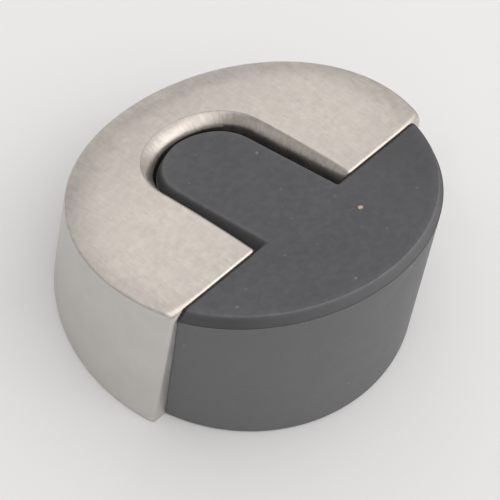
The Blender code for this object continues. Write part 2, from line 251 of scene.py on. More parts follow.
def storeValues(mesh, name, values):
    # one value per point, kept on the face corners so that a cut does not blur them
    corners = [values[loop.vertex_index] for loop in mesh.loops]
    mesh.attributes.new(name, "FLOAT", "CORNER").data.foreach_set("value", corners)


def circleRow(radius, z, count, start=0.0, sweep=2 * math.pi):
    # a whole turn leaves out its repeated last point
    steps = count if sweep >= 2 * math.pi else count - 1
    angles = [start + sweep * i / steps for i in range(count)]
    return [(radius * math.cos(a), radius * math.sin(a), z) for a in angles]


def turned(name, profile, count):
    return skinRows(name, [circleRow(radius, z, count) for radius, z in profile])


def prism(name, outline, bottom, top):
    return skinRows(name, [[(x, y, z) for x, y in outline] for z in (bottom, top)])


def block(name, low, high):
    outline = [(low[0], low[1]), (high[0], low[1]), (high[0], high[1]), (low[0], high[1])]
    return prism(name, outline, low[2], high[2])


def newPiece(name, mesh):
    piece = bpy.data.objects.new(name, mesh)
    bpy.context.scene.collection.objects.link(piece)
    return piece


def combine(piece, steps):
    # steps are (operation, mesh, matrix), done in turn; the result becomes the piece's own mesh
    tools = []
    for operation, mesh, spot in steps:
        tool = newPiece("tool", mesh)
        tool.matrix_world = spot
        tools.append(tool)
        modifier = piece.modifiers.new(operation, "BOOLEAN")
        modifier.operation = operation
        modifier.solver = "EXACT"
        modifier.object = tool
    graph = bpy.context.evaluated_depsgraph_get()
    done = piece.evaluated_get(graph)
    mesh = bpy.data.meshes.new_from_object(done, preserve_all_data_layers=True, depsgraph=graph)
    piece.modifiers.clear()
    piece.data = mesh
    for tool in tools:
        bpy.data.objects.remove(tool)


def finishPiece(piece, body, material, nodes, sharp=34):
    piece.data.materials.clear()
    piece.data.materials.append(material)
    piece.data.shade_smooth()
    piece.data.set_sharp_from_angle(angle=math.radians(sharp))
    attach(piece, body)
    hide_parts(*nodes)
    print(piece.name, "made:", len(piece.data.polygons), "faces")


def quarterRound(steps):
    # (inwards, down) as shares, from the foot of the rounding to its crest
    angles = [math.pi / 2 * i / steps for i in range(steps + 1)]
    return [(1 - math.cos(a), 1 - math.sin(a)) for a in angles]


def roundDrop(distance, radius):
    # how far a rounded edge lies below full height at a distance from it
    reach = radius - min(max(distance, 0.0), radius)
    return radius - math.sqrt(radius**2 - reach**2)


def softCorner(points, index, radius, steps):
    # the corner of a closed loop becomes a short curve
    corner = Vector(points[index])
    before = Vector(points[index - 1])
    after = Vector(points[(index + 1) % len(points)])
    start = corner + (before - corner).normalized() * radius
    end = corner + (after - corner).normalized() * radius
    curve = []
    for i in range(steps + 1):
        t = i / steps
        curve.append(tuple(start * (1 - t) ** 2 + corner * 2 * t * (1 - t) + end * t**2))
    return curve


# The cast steel horseshoe

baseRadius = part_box("cast_body")[1].x
armFaceY = -0.0074  # the arms' flat front faces

castBody = {
    "wallDraft": 0.058,        # loss of radius per unit of height
    "crownHeight": 0.0226,     # over the middle of the base
    "crownSlope": 0.28,        # fall towards the back there
    "crownRadius": 0.147,
    "rimWidth": 0.0046,        # band along the outer edge where the top rolls off
    "rimDrop": 0.00042,
    "shoulderY": 0.0105,
    "slotHalf": 0.0076,
    "slotEndY": 0.0071,
    "slotFlattened": 0.0007,
    "lipHalf": 0.00865,        # where the top starts to roll down into the slot
    "lipEndY": 0.0083,
    "lipDrop": 0.0020,
    "lipCrease": 0.00022,      # rounding where it starts
    "topEdgeRound": 0.00022,
    "frontEdgeRound": 0.00060,  # more of it beside the arms' front ends
    "frontEdgeReach": 0.0100,
    "footRound": 0.00025,
    "armTopRound": 0.00050,    # polished rounding over the arms' flat front faces
    "armSideRound": 0.00035,
    "cornerFlare": 0.0009,     # more of it at the outer corners
    "cornerReach": 0.0050,
    "armLipStart": 0.62,       # how steeply the lip starts along the arms
    "endLipStart": 0.50,       # and round the slot's end
    "topSpread": 1.15,         # points crowd towards the outer edge
    "wallSteps": 12,
    "topSteps": 30,
    "lipSteps": 7,
    "slotSteps": 5,
    "edgeSteps": 6,
    "creaseSteps": 4,
    "footSteps": 3,
    "frontSteps": 10,
    "armSteps": 44,
    "endSteps": 84,
}


def crownHeight(y):
    lean = math.atan(castBody["crownSlope"])
    radius = castBody["crownRadius"]
    centreY = -radius * math.sin(lean)
    centreZ = castBody["crownHeight"] - radius * math.cos(lean)
    return centreZ + math.sqrt(radius**2 - (y - centreY) ** 2)


def topHeight(y, toEdge):
    intoRim = 1 - min(toEdge / castBody["rimWidth"], 1.0)
    intoCorner = 1 - min(toEdge / castBody["cornerReach"], 1.0)
    rounding = castBody["armTopRound"] + castBody["cornerFlare"] * intoCorner**2
    drop = castBody["rimDrop"] * intoRim**2 + roundDrop(y - armFaceY, rounding)
    return crownHeight(y) - drop


def slotPoint(share, half, endY, flattened):
    # the straight side, then the round end, pressed forwards a little at its middle
    if share <= 1:
        return half, armFaceY + (endY - armFaceY) * share
    turn = math.pi / 2 * (share - 1)
    return half * math.cos(turn), endY + half * math.sin(turn) - flattened * math.sin(turn) ** 2


def wallPoint(share, radius):
    shoulderY = castBody["shoulderY"]
    if share <= 1:
        y = armFaceY + (shoulderY - armFaceY) * share
        return math.sqrt(radius**2 - y**2), y
    shoulder = math.asin(shoulderY / radius)
    angle = shoulder + (math.pi / 2 - shoulder) * (share - 1)
    return radius * math.cos(angle), radius * math.sin(angle)


def wallTop(share):
    radius = baseRadius
    for _ in range(8):
        x, y = wallPoint(share, radius)
        z = topHeight(y, 0.0)
        radius = baseRadius - castBody["wallDraft"] * z
    return x, y, z


def bodySection(share, side):
    # one closed loop across the horseshoe, and how far each point lies from the top's outer edge
    s = castBody
    slotX, slotY = slotPoint(share, s["slotHalf"], s["slotEndY"] + s["slotFlattened"], s["slotFlattened"])
    lipX, lipY = slotPoint(share, s["lipHalf"], s["lipEndY"], 0.0)
    edgeX, edgeY, edgeZ = wallTop(share)
    footX, footY = wallPoint(share, baseRadius)
    sideRound = roundDrop(slotY - armFaceY, s["armSideRound"])
    slotX, lipX = slotX + sideRound, lipX + sideRound
    edgeX, footX = edgeX - sideRound, footX - sideRound

    points = []
    for i in range(s["wallSteps"] + 1):
        w = i / s["wallSteps"]
        points.append((footX + (edgeX - footX) * w, footY + (edgeY - footY) * w, edgeZ * w))
    edgeIndex = len(points) - 1
    across = math.hypot(edgeX - lipX, edgeY - lipY)
    beside = max(0.0, 1 - (edgeY - armFaceY) / s["frontEdgeReach"])
    edgeRound = s["topEdgeRound"] + s["frontEdgeRound"] * beside**2
    for i in range(1, s["topSteps"] + 1):
        w = edgeRound / across + (1 - edgeRound / across) * (i / s["topSteps"]) ** s["topSpread"]
        x = edgeX + (lipX - edgeX) * w
        y = edgeY + (lipY - edgeY) * w
        points.append((x, y, topHeight(y, across * w)))
    lipIndex = len(points) - 1
    hollow = math.sin(math.pi / 2 * max(share - 1, 0)) ** 2
    arm, end = s["armLipStart"], s["endLipStart"]
    for i in range(1, s["lipSteps"] + 1):
        w = i / s["lipSteps"]
        x = lipX + (slotX - lipX) * w
        y = lipY + (slotY - lipY) * w
        down = (1 - hollow) * (arm * w + (1 - arm) * w**2) + hollow * (end * w + (1 - end) * w**3)
        points.append((x, y, topHeight(y, across) - s["lipDrop"] * down))
    wallZ = points[-1][2]
    for i in range(1, s["slotSteps"] + 1):
        points.append((slotX, slotY, wallZ * (1 - i / s["slotSteps"])))

    topEdge = softCorner(points, edgeIndex, edgeRound, s["edgeSteps"])
    crease = softCorner(points, lipIndex, s["lipCrease"], s["creaseSteps"])
    foot = softCorner(points, 0, s["footRound"], s["footSteps"])
    loop = foot + points[1:edgeIndex] + topEdge
    loop += points[edgeIndex + 1:lipIndex] + crease + points[lipIndex + 1:]
    edgeAt = len(foot) + edgeIndex - 1 + len(topEdge) // 2
    lipAt = len(foot) + lipIndex - 1 + len(topEdge) - 1 + len(crease) // 2
    run = [0.0]
    for first, second in zip(loop, loop[1:]):
        run.append(run[-1] + math.dist(first, second))
    fromEdge = [value - run[edgeAt] for value in run]
    pastCrease = [value - run[lipAt] for value in run]
    return [(side * x, y, z) for x, y, z in loop], fromEdge, pastCrease


def bodyShares():
    reach = castBody["armTopRound"] + castBody["cornerFlare"]
    edge = reach / (castBody["slotEndY"] - armFaceY)
    near = [edge * inwards for inwards, _ in quarterRound(castBody["frontSteps"])]
    arm = [edge + (1 - edge) * (i + 1) / castBody["armSteps"] for i in range(castBody["armSteps"])]
    end = [1 + (i + 1) / castBody["endSteps"] for i in range(castBody["endSteps"])]
    return near + arm + end


def webOutline(radius, lobeBack, strip, stripBack):
    # the slot's floor: a round lobe under the rubber and a strip with a round end along the slot
    corner = math.asin(-lobeBack / radius)
    lobe = circleRow(radius, 0, 65, math.pi + corner, math.pi - 2 * corner)
    end = circleRow(strip, 0, 33, 0.0, math.pi)
    points = [(x, y) for x, y, _ in lobe] + [(strip, lobeBack)]
    points += [(x, y + stripBack) for x, y, _ in end]
    return points + [(-strip, lobeBack)]


web = {
    "underside": 0.0028,
    "top": 0.0090,
    "radius": 0.0195,
    "overlap": 0.0010,
}
gap = 0.0003
beyond = 0.0010            # cutters reach this far past the skin
fixing = {
    "x": 0.0075,
    "y": -0.0115,
    "hole": 0.0023,
    "counterbore": 0.0041,
    "counterboreTop": 0.0066,
    "insertBore": 0.0038,
    "insertTop": 0.0189,
    "boreAround": 40,
}
plateRoom = {
    "tabHalf": 0.0050,     # the plate's rear tab
    "tabThickness": 0.0020,
    "recessAround": 96,
}
screwBore = {
    "clearance": 0.0002,
    "length": 0.0005,      # past the wall's outer face
    "neck": 0.0004,        # the funnel starts this far inside that
    "funnel": 0.0016,
    "funnelOut": 0.0012,
    "around": 48,
}


def makeCastBody(material):
    shares = bodyShares()
    rows, fromEdge, pastCrease, alongSlot = [], [], [], []
    for side, chosen in ((-1, shares), (1, shares[-2::-1])):
        for share in chosen:
            loop, edgeRun, creaseRun = bodySection(share, side)
            rows.append(loop)
            fromEdge += edgeRun
            pastCrease += creaseRun
            slotRun = share * (castBody["lipEndY"] - armFaceY)
            if share > 1:
                slotRun = castBody["lipEndY"] - armFaceY + (share - 1) * castBody["lipHalf"] * math.pi / 2
            half = castBody["lipEndY"] - armFaceY + castBody["lipHalf"] * math.pi / 2
            alongSlot += [side * (half - slotRun)] * len(loop)
    mesh = skinRows("castBody", rows)
    storeValues(mesh, "fromEdge", fromEdge)
    storeValues(mesh, "pastCrease", pastCrease)
    storeValues(mesh, "alongSlot", alongSlot)
    storeValues(mesh, "outerSkin", [1.0] * len(fromEdge))
    body = newPiece("castBody", mesh)

    plateLow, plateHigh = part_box("mounting_plate")
    screwLow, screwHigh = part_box("grub_screw")
    recess = plateHigh.x + gap
    tabHalf = plateRoom["tabHalf"] + 2 * gap
    tabBack = plateHigh.y + 2 * gap
    tabFront = tabBack - plateRoom["tabThickness"] - 4 * gap
    under, top = web["underside"], plateHigh.z + 2 * gap
    outline = webOutline(
        web["radius"], armFaceY + web["overlap"], castBody["slotHalf"] + web["overlap"], castBody["slotEndY"]
    )
    recessTool = turned("recess", [(recess, -beyond), (recess, under)], plateRoom["recessAround"])
    channelTool = block("channel", (-tabHalf, recess / 2, -beyond), (tabHalf, tabBack, under))
    pocketTool = block("pocket", (-tabHalf, tabFront, -beyond), (tabHalf, tabBack, top))
    here = Matrix.Identity(4)
    steps = [("UNION", prism("web", outline, under - beyond, web["top"]), here)]
    steps += [("DIFFERENCE", tool, here) for tool in (recessTool, channelTool, pocketTool)]
    bore = [
        (fixing["counterbore"], 0.0),
        (fixing["counterbore"], fixing["counterboreTop"]),
        (fixing["hole"], fixing["counterboreTop"]),
        (fixing["hole"], web["top"] + beyond),
    ]
    for side in (-1, 1):
        spot = Matrix.Translation((side * fixing["x"], fixing["y"], 0))
        steps.append(("DIFFERENCE", turned("bore", bore, fixing["boreAround"]), spot))
    s = screwBore
    radius = screwHigh.x + s["clearance"]
    mouth = screwHigh.y - tabBack + s["length"]
    drill = [(radius, 0.0), (radius, mouth - s["neck"]), (radius + s["funnel"], mouth + s["funnelOut"])]
    axis = Matrix.Translation((0, tabBack, (screwLow.z + screwHigh.z) / 2))
    spot = axis @ Matrix.Rotation(-math.pi / 2, 4, "X")
    steps.append(("DIFFERENCE", turned("setScrewBore", drill, s["around"]), spot))
    combine(body, steps)
    finishPiece(body, "stop", material, ["cast_body"], sharp=30)


# The rubber buffer

rubberRadius = -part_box("rubber_buffer")[0].y

rubberBuffer = {
    "draft": 0.010,
    "height": 0.0215,        # of its flat top over the middle of the base
    "slope": 0.350,
    "rimInset": 0.0009,
    "rimDrop": 0.0019,
    "tongueHalf": 0.0073,
    "tongueEndY": 0.0075,
    "tongueFlattened": 0.0007,
    "tongueInset": 0.00115,
    "tongueDrop": 0.0017,
    "backInset": 0.00030,
    "backDrop": 0.00018,
    "backGap": 0.00004,
    "tipShare": 0.15,        # of the tongue's band, left at the middle of its end
    "tipCurve": 1.2,
    "footRound": 0.0003,
    "ledge": 0.06,           # shares of the band's width or depth
    "crestShare": 0.34,
    "crestDrop": 0.75,
    "crestCurve": 1.8,
    "crestAt": 1.55,         # along the band, which runs from 0 to 2
    "crestWidth": 0.38,
    "fillReach": 0.94,
    "wallSteps": 14,
    "bandSteps": 10,
    "crestSteps": 8,
    "fillSteps": 14,
    "frontCount": 161,
    "tongueCount": 65,
    "armCount": 24,
    "backCount": 18,
    "centreY": -0.0090,      # the top is filled from here outwards
}


def tongueShare(x, y):
    # the tongue's band narrows round its end
    s = rubberBuffer
    past = y - s["tongueEndY"]
    if past <= 0:
        return 1.0
    return s["tipShare"] + (1 - s["tipShare"]) * abs(x / math.hypot(x, past)) ** s["tipCurve"]


def rubberRow(rimInset, tongueInset, backInset, radius):
    # the outline as (x, y, kind); kind says which edge a point belongs to
    s = rubberBuffer
    rim = radius - rimInset
    backY = armFaceY - s["backGap"] - backInset
    half = s["tongueHalf"] - tongueInset
    endY = s["tongueEndY"]
    corner = math.asin(-backY / rim)
    front = circleRow(rim, 0, s["frontCount"], math.pi + corner, math.pi - 2 * corner)
    row = [(x, y, "rim") for x, y, _ in front]
    reach = math.sqrt(rim**2 - backY**2)
    right, side = [], []
    for i in range(s["backCount"]):
        right.append((reach + (half - reach) * (i + 1) / s["backCount"], backY, "back"))
    for i in range(s["armCount"] - 1):
        side.append((half, backY + (endY - backY) * (i + 1) / s["armCount"], "tongue"))
    end = []
    for x, y, _ in circleRow(1.0, 0, s["tongueCount"], 0.0, math.pi):
        reach = s["tongueHalf"] - tongueInset * tongueShare(x, y + endY)
        end.append((x * reach, y * reach + endY - s["tongueFlattened"] * y**2, "tongue"))
    row += right + side + end
    row += [(-x, y, kind) for x, y, kind in side[::-1]]
    row += [(-x, y, kind) for x, y, kind in right[::-1]]
    return row


def rubberTop(y):
    return rubberBuffer["height"] - rubberBuffer["slope"] * y


def bandProfile():
    # (inwards, down, share of the way up) along the band: a small ledge, a slope, a rounded crest
    s = rubberBuffer
    crest = s["crestShare"]
    profile = []
    for i in range(s["bandSteps"]):
        t = i / s["bandSteps"]
        profile.append((s["ledge"] + (1 - s["ledge"] - crest) * t, 1 - (1 - s["crestDrop"] * crest) * t, t))
    for i in range(s["crestSteps"] + 1):
        t = i / s["crestSteps"]
        short = 1 - math.sin(math.pi / 2 * t)
        profile.append((1 - crest * short, s["crestDrop"] * crest * short ** s["crestCurve"], 1 + t))
    return profile


def makeRubberBuffer(material):
    s = rubberBuffer
    drops = {"rim": s["rimDrop"], "tongue": s["tongueDrop"], "back": s["backDrop"]}
    topRadius = rubberRadius - s["draft"] * s["height"]
    foot = rubberRow(0, 0, 0, rubberRadius)
    crease = rubberRow(0, 0, 0, topRadius)

    inset = rubberRow(s["footRound"], s["footRound"] / 3, s["footRound"] / 3, rubberRadius)
    rows = [[(x, y, 0.0) for x, y, _ in inset]]
    for i in range(s["wallSteps"] + 1):
        w = i / s["wallSteps"]
        row = []
        for (fx, fy, kind), (cx, cy, _) in zip(foot, crease):
            top = rubberTop(cy) - drops[kind] * tongueShare(cx, cy)
            z = s["footRound"] + (top - s["footRound"]) * w
            row.append((fx + (cx - fx) * w, fy + (cy - fy) * w, z))
        rows.append(row)
    wallPoints = len(rows) * len(inset)
    # masks for the painted shade on the bands, the painted highlight along their crests and the painted
    # light on the wall
    bandMask, crestHighlightMask, wallMask = [0.0] * wallPoints, [0.0] * wallPoints, [1.0] * wallPoints
    for inwards, down, t in bandProfile():
        insets = [s[key] * inwards for key in ("rimInset", "tongueInset", "backInset")]
        outline = rubberRow(*insets, topRadius)
        fading = min(1.0, (2 - t) * 2)
        # where the painted highlight line lies along the band
        crest = math.exp(-(((t - s["crestAt"]) / s["crestWidth"]) ** 2))
        row = []
        for x, y, kind in outline:
            share = tongueShare(x, y)
            # painted shade on the rim's band at the sides, painted light on its front
            side = min(1.0, (x / rubberRadius) ** 2 * 1.6)  # the rim's band is darkest at the sides
            masks = {"tongue": (share, 0.0), "rim": (side, 0.6 * (1 - side)), "back": (0.0, 0.0)}
            row.append((x, y, rubberTop(y) - drops[kind] * share * down))
            bandMask.append(masks[kind][0] * fading)
            wallMask.append(masks[kind][1] * fading)
            crestHighlightMask.append(0.0 if kind == "back" else crest)
        rows.append(row)
    rim = rows[-1]
    for i in range(1, s["fillSteps"] + 1):
        w = 1 - (i / s["fillSteps"]) * s["fillReach"]
        row = []
        for x, y, _ in rim:
            px = x * w
            py = s["centreY"] + (y - s["centreY"]) * w
            row.append((px, py, rubberTop(py)))
        rows.append(row)
    mesh = skinRows("rubberBuffer", rows)
    topPoints = [0.0] * (s["fillSteps"] * len(inset))
    for name, mask in (("bandMask", bandMask), ("crestHighlightMask", crestHighlightMask), ("wallMask", wallMask)):
        storeValues(mesh, name, mask + topPoints)
    buffer = newPiece("rubberBuffer", mesh)

    here = Matrix.Identity(4)
    outline = webOutline(
        web["radius"] + gap,
        armFaceY - gap,
        castBody["slotHalf"] + web["overlap"],
        castBody["slotEndY"] + castBody["slotHalf"],
    )
    steps = [("DIFFERENCE", prism("socket", outline, -beyond, web["top"] + gap), here)]
    bore = [(fixing["insertBore"], web["top"]), (fixing["insertBore"], fixing["insertTop"])]
    for side in (-1, 1):
        spot = Matrix.Translation((side * fixing["x"], fixing["y"], 0))
        steps.append(("DIFFERENCE", turned("insertBore", bore, fixing["boreAround"]), spot))
    combine(buffer, steps)
    finishPiece(buffer, "stop", material, ["rubber_buffer"], sharp=30)


# Shared effects, each a node group

def makeBrushGroup():
    # fine parallel lines along the second axis of the vector, with a few laid slightly across
    values = {"Across": 5000.0, "Along": 400.0, "Slant": 0.15}
    tree, entry, leave = newGroup("brushLines", values, ["Lines", "Streaks"])
    parts = {0: entry["Across"], 1: entry["Along"], 2: entry["Along"]}
    scale = addNode(tree, "ShaderNodeCombineXYZ", parts).outputs[0]
    straight = vectorCalc(tree, "MULTIPLY", entry["Vector"], scale)[0]
    turn = {"Vector": entry["Vector"], "Angle": entry["Slant"]}
    rotated = addNode(tree, "ShaderNodeVectorRotate", turn, rotation_type="Z_AXIS").outputs[0]
    slanted = vectorCalc(tree, "MULTIPLY", rotated, scale)[0]
    first = addNoise(tree, straight, 1.0, 4.0, 0.65)
    second = addNoise(tree, slanted, 0.8, 3.0, 0.6)
    lines = calc(tree, "MULTIPLY", calc(tree, "ADD", first, second), 0.5)
    broad = addNoise(tree, straight, 0.22, 2.0)
    tree.links.new(remap(tree, lines, 0.34, 0.66), leave["Lines"])
    tree.links.new(remap(tree, broad, 0.35, 0.65), leave["Streaks"])
    return tree


def makeCloudGroup():
    # slow, cloudy change of tone
    tree, entry, leave = newGroup("cloudyTone", {"Scale": 150.0}, ["Mask"])
    noise = addNoise(tree, entry["Vector"], entry["Scale"], 5.0, 0.55, 0.4)
    tree.links.new(remap(tree, noise, 0.32, 0.68), leave["Mask"])
    return tree


def makeGrainGroup():
    # close, even pitting of a cast or moulded skin
    tree, entry, leave = newGroup("skinGrain", {"Scale": 4000.0}, ["Height"])
    tree.links.new(addNoise(tree, entry["Vector"], entry["Scale"], 2.0, 0.7), leave["Height"])
    return tree


def makeWearGroup():
    # rubbed edges, broken up a little
    tree, entry, leave = newGroup("edgeWear", {"Starts": 0.53}, ["Mask"])
    sharpness = addNode(tree, "ShaderNodeNewGeometry").outputs["Pointiness"]
    edge = remap(tree, sharpness, entry["Starts"], calc(tree, "ADD", entry["Starts"], 0.08))
    broken = remap(tree, addNoise(tree, entry["Vector"], 700.0, 3.0), 0.3, 0.6, 0.35, 1.0)
    tree.links.new(calc(tree, "MULTIPLY", edge, broken), leave["Mask"])
    return tree


def makeSpeckGroup():
    # sparse specks of dust
    tree, entry, leave = newGroup("dustSpecks", {"Scale": 500.0, "Share": 0.06, "Size": 0.14}, ["Mask"])
    cells = addNode(tree, "ShaderNodeTexVoronoi", {"Vector": entry["Vector"], "Scale": entry["Scale"]})
    chance = addNode(tree, "ShaderNodeSeparateColor", {"Color": cells.outputs["Color"]})
    chosen = calc(tree, "LESS_THAN", chance.outputs[0], entry["Share"])
    size = calc(tree, "MULTIPLY", entry["Size"], calc(tree, "ADD", chance.outputs[1], 0.4))
    near = remap(tree, cells.outputs["Distance"], size, calc(tree, "MULTIPLY", size, 0.4))
    tree.links.new(calc(tree, "MULTIPLY", chosen, near), leave["Mask"])
    return tree


def makeScuffGroup():
    # thin curved hairlines that show in patches only
    tree, entry, leave = newGroup("hairScuffs", {"Scale": 260.0, "Patches": 0.62}, ["Mask"])
    noise = addNoise(tree, entry["Vector"], entry["Scale"], 2.0)
    off = calc(tree, "ABSOLUTE", calc(tree, "SUBTRACT", noise, 0.5))
    line = remap(tree, off, 0.0045, 0.0015)
    patch = addNoise(tree, entry["Vector"], 120.0, 2.0)
    shown = remap(tree, patch, entry["Patches"], calc(tree, "ADD", entry["Patches"], 0.05))
    tree.links.new(calc(tree, "MULTIPLY", line, shown), leave["Mask"])
    return tree


effects = {
    "brush": makeBrushGroup(),
    "cloud": makeCloudGroup(),
    "grain": makeGrainGroup(),
    "wear": makeWearGroup(),
    "specks": makeSpeckGroup(),
    "scuffs": makeScuffGroup(),
}


def addEffect(tree, effect, vector, **inputs):
    inputs = {"Vector": vector, **inputs}
    return addNode(tree, "ShaderNodeGroup", inputs, node_tree=effects[effect]).outputs


def readValue(tree, name):
    return addNode(tree, "ShaderNodeAttribute", attribute_name=name).outputs["Fac"]


def bump(tree, shader, *layers):
    # layers are (height, distance); each lies on the one before
    normal = None
    for height, distance in layers:
        made = addNode(tree, "ShaderNodeBump", {"Height": height, "Distance": distance, "Strength": 1.0})
        if normal is not None:
            tree.links.new(normal, made.inputs["Normal"])
        normal = made.outputs[0]
    tree.links.new(normal, shader.inputs["Normal"])


# Materials

satinSteel = {
    "dark": (0.560, 0.520, 0.478, 1),
    "light": (0.735, 0.688, 0.632, 1),
    "rosy": (0.640, 0.575, 0.550, 1),
    "wallDark": (0.575, 0.560, 0.535, 1),
    "wallLight": (0.650, 0.635, 0.610, 1),
    "creaseTone": (0.38, 0.36, 0.34, 1),
    "castTone": (0.33, 0.32, 0.305, 1),
    "topLines": {"Across": 3000.0, "Along": 360.0, "Slant": 0.22},
    "crossLines": {"Across": 2300.0, "Along": 900.0, "Slant": 1.25},
    "lipLines": {"Across": 2700.0, "Along": 620.0, "Slant": 0.05},
    "grainScale": 4200.0,
    "cloudScale": 170.0,
    "blotchScale": 900.0,
    "rosyScale": 310.0,
    "roughness": 0.30,
    "polishStarts": 0.0006,    # distance from the arms' faces
    "polishFull": 0.0001,
    "lineDepth": 0.0000032,
    "lipDepth": 0.0000130,
    "wallDepth": 0.0000022,
    "creaseWidth": 0.00014,
}


def makeSatinSteel():
    s = satinSteel
    material, tree, shader = newMaterial("satinSteel", s["light"][:3], s["roughness"], 1)
    spot = addNode(tree, "ShaderNodeTexCoord").outputs["Object"]
    fromEdge, pastCrease, alongSlot, skin = (
        readValue(tree, name) for name in ("fromEdge", "pastCrease", "alongSlot", "outerSkin")
    )
    acrossLip = addNode(tree, "ShaderNodeCombineXYZ", {0: alongSlot, 1: pastCrease, 2: 0.0}).outputs[0]
    topLines = addEffect(tree, "brush", spot, **s["topLines"])
    crossLines = addEffect(tree, "brush", spot, **s["crossLines"])
    lipLines = addEffect(tree, "brush", acrossLip, **s["lipLines"])
    wallGrain = addEffect(tree, "grain", spot, Scale=s["grainScale"])["Height"]
    cloud = addEffect(tree, "cloud", spot, Scale=s["cloudScale"])["Mask"]
    blotch = addEffect(tree, "cloud", spot, Scale=s["blotchScale"])["Mask"]

    ragged = calc(tree, "MULTIPLY_ADD", lipLines["Lines"], 0.00050, -0.00025)
    onLip = remap(tree, calc(tree, "ADD", pastCrease, ragged), -0.00012, 0.00022)
    onWall = remap(tree, fromEdge, 0.00010, -0.00010)
    notWall = calc(tree, "SUBTRACT", 1.0, onWall)
    lines = calc(tree, "MULTIPLY", topLines["Lines"], calc(tree, "SUBTRACT", 1.0, onLip))
    depth = addNode(tree, "ShaderNodeSeparateXYZ", {0: spot}).outputs[1]
    polish = remap(tree, depth, armFaceY + s["polishStarts"], armFaceY + s["polishFull"])
    unpolished = calc(tree, "MULTIPLY", notWall, calc(tree, "SUBTRACT", 1.0, polish))
    lines = calc(tree, "MULTIPLY", lines, unpolished)
    lipHeight = calc(tree, "MULTIPLY", lipLines["Lines"], calc(tree, "MULTIPLY", onLip, skin))
    wallHeight = calc(tree, "MULTIPLY", wallGrain, onWall)

    tone = calc(tree, "MULTIPLY_ADD", topLines["Lines"], 0.55, calc(tree, "MULTIPLY", cloud, 0.22))
    tone = calc(tree, "MULTIPLY_ADD", topLines["Streaks"], 0.12, tone)
    tone = calc(tree, "MULTIPLY_ADD", blotch, 0.34, tone)
    tone = calc(tree, "MULTIPLY_ADD", calc(tree, "SUBTRACT", crossLines["Lines"], 0.5), 0.45, tone)
    ground = calc(tree, "MULTIPLY", calc(tree, "SUBTRACT", 0.6, lipLines["Lines"]), onLip)
    tone = calc(tree, "MULTIPLY_ADD", ground, -0.9, tone)
    colour = mixColours(tree, tone, s["dark"], s["light"])
    rosy = addEffect(tree, "cloud", spot, Scale=s["rosyScale"])["Mask"]
    colour = mixColours(tree, calc(tree, "MULTIPLY", rosy, 0.38), colour, s["rosy"])
    wallTone = calc(tree, "MULTIPLY_ADD", cloud, 0.5, calc(tree, "MULTIPLY", wallGrain, 0.5))
    colour = mixColours(tree, onWall, colour, mixColours(tree, wallTone, s["wallDark"], s["wallLight"]))
    offCrease = calc(tree, "ABSOLUTE", pastCrease)
    crease = remap(tree, offCrease, s["creaseWidth"], 0.0, 0.0, 0.55)
    colour = mixColours(tree, calc(tree, "MULTIPLY", crease, skin), colour, s["creaseTone"])
    colour = mixColours(tree, skin, s["castTone"], colour)
    tree.links.new(colour, shader.inputs["Base Color"])

    rough = calc(tree, "MULTIPLY_ADD", topLines["Lines"], 0.07, s["roughness"])
    rough = calc(tree, "MULTIPLY_ADD", cloud, 0.05, rough)
    rough = calc(tree, "MULTIPLY_ADD", onWall, 0.13, rough)
    rough = calc(tree, "MULTIPLY_ADD", calc(tree, "SUBTRACT", 1.0, skin), 0.25, rough)
    rough = calc(tree, "MULTIPLY_ADD", polish, -0.12, rough)
    tree.links.new(rough, shader.inputs["Roughness"])
    bump(tree, shader, (lines, s["lineDepth"]), (lipHeight, s["lipDepth"]), (wallHeight, s["wallDepth"]))
    return material


mouldedRubber = {
    "dark": (0.062, 0.063, 0.070, 1),
    "light": (0.088, 0.089, 0.098, 1),
    # band: painted shade on the tongue's band and the rim's sides
    "band": (0.046, 0.047, 0.051, 1),
    # crest: a painted highlight line along the band's crest
    "crest": (0.165, 0.166, 0.174, 1),
    # wall: painted light, the wall and the rim's front lighter than the top
    "wall": (0.125, 0.126, 0.131, 1),
    "dust": (0.30, 0.29, 0.275, 1),
    "crumb": (0.55, 0.44, 0.36, 1),
    "crumbPlace": (0.0049, -0.0123, 0.0258),
    "crumbRadius": (0.00080, 0.00062),     # where it starts and is full
    "crumbRagged": 0.0007,
    "crumbHeight": 0.0002,
    "cloudScale": 140.0,
    "mottleScale": 900.0,
    "streaks": {"Across": 700.0, "Along": 60.0, "Slant": 0.0},
    "grainScale": 5200.0,
    "dustSpecks": {"Scale": 420.0, "Share": 0.17, "Size": 0.10},
    "fluffSpecks": {"Scale": 1300.0, "Share": 0.09, "Size": 0.22},
    "scuffs": {"Scale": 420.0, "Patches": 0.60},
    # painted shade on the top, darker towards +X
    "farSideShade": (0.004, 0.022),             # the top darkens towards +X
    "farRim": (-0.004, 0.007),             # and its rim sooner
    "ior": 1.52,
    "roughness": 0.46,
    "grainDepth": 0.0000022,
    "swellDepth": 0.000018,
}


